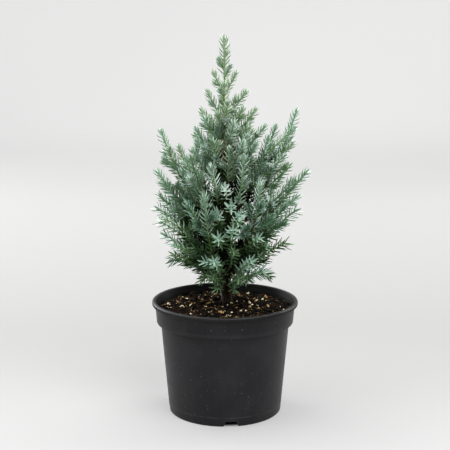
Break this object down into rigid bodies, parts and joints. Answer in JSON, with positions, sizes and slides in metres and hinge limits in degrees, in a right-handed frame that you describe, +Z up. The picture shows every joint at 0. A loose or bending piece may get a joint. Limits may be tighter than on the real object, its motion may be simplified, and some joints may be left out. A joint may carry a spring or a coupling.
{
  "type": "potted blue juniper",
  "caption": "Young blue juniper, a narrow cone of upswept needle sprays over a short bare foot, in a round black nursery pot with a collar, a rounded lip and foot notches.",
  "frame": {"origin": "centre of the pot's flat underside, on the surface it stands on", "axes": "+Z up along the pot's axis, the front seen from -Y with +X to the right"},
  "size_m": [0.1397, 0.1298, 0.3346],
  "materials": {
    "pot_plastic": "charcoal injection-moulded plastic, semi-matt with fine scuffs and dust",
    "potting_soil": "dark peat with bark chips and pale mineral granules",
    "bark": "thin reddish-brown peeling bark",
    "needles": "stiff blue-green needles with a pale waxy bloom"
  },
  "bodies": {
    "root": {"bough_back": "bark", "bough_back_left": "bark", "bough_back_right": "bark", "bough_front_left": "bark", "bough_front_right": "bark", "bough_left": "bark", "bough_right": "bark", "bough_right_front": "bark", "bough_shoulder_back_left": "bark", "bough_shoulder_back_right": "bark", "bough_shoulder_front_left": "bark", "bough_shoulder_left": "bark", "bough_shoulder_right": "bark", "foliage_back": "needles", "foliage_back_left": "needles", "foliage_back_right": "needles", "foliage_front_left": "needles", "foliage_front_right": "needles", "foliage_leader_tip": "needles", "foliage_left": "needles", "foliage_low_back": "needles", "foliage_low_back_left": "needles", "foliage_low_back_right": "needles", "foliage_low_front_droop": "needles", "foliage_low_front_left": "needles", "foliage_low_front_right": "needles", "foliage_low_front_upper": "needles", "foliage_low_left": "needles", "foliage_low_left_droop": "needles", "foliage_low_left_upper": "needles", "foliage_low_right": "needles", "foliage_low_right_droop": "needles", "foliage_low_right_upper": "needles", "foliage_low_side_left": "needles", "foliage_right": "needles", "foliage_right_front": "needles", "foliage_shoulder_back_left": "needles", "foliage_shoulder_back_right": "needles", "foliage_shoulder_front_left": "needles", "foliage_shoulder_left": "needles", "foliage_shoulder_right": "needles", "foliage_top_1_a": "needles", "foliage_top_1_b": "needles", "foliage_top_2_a": "needles", "foliage_top_2_b": "needles", "foliage_top_3_a": "needles", "foliage_top_3_b": "needles", "foliage_top_4_a": "needles", "foliage_top_4_b": "needles", "foliage_top_5_a": "needles", "foliage_top_5_b": "needles", "foliage_top_6_a": "needles", "foliage_top_6_b": "needles", "foliage_top_7_a": "needles", "foliage_top_7_b": "needles", "foliage_top_8_a": "needles", "foliage_top_8_b": "needles", "pot": "pot_plastic", "soil": "potting_soil", "trunk": "bark"}
  },
  "joints": []
}
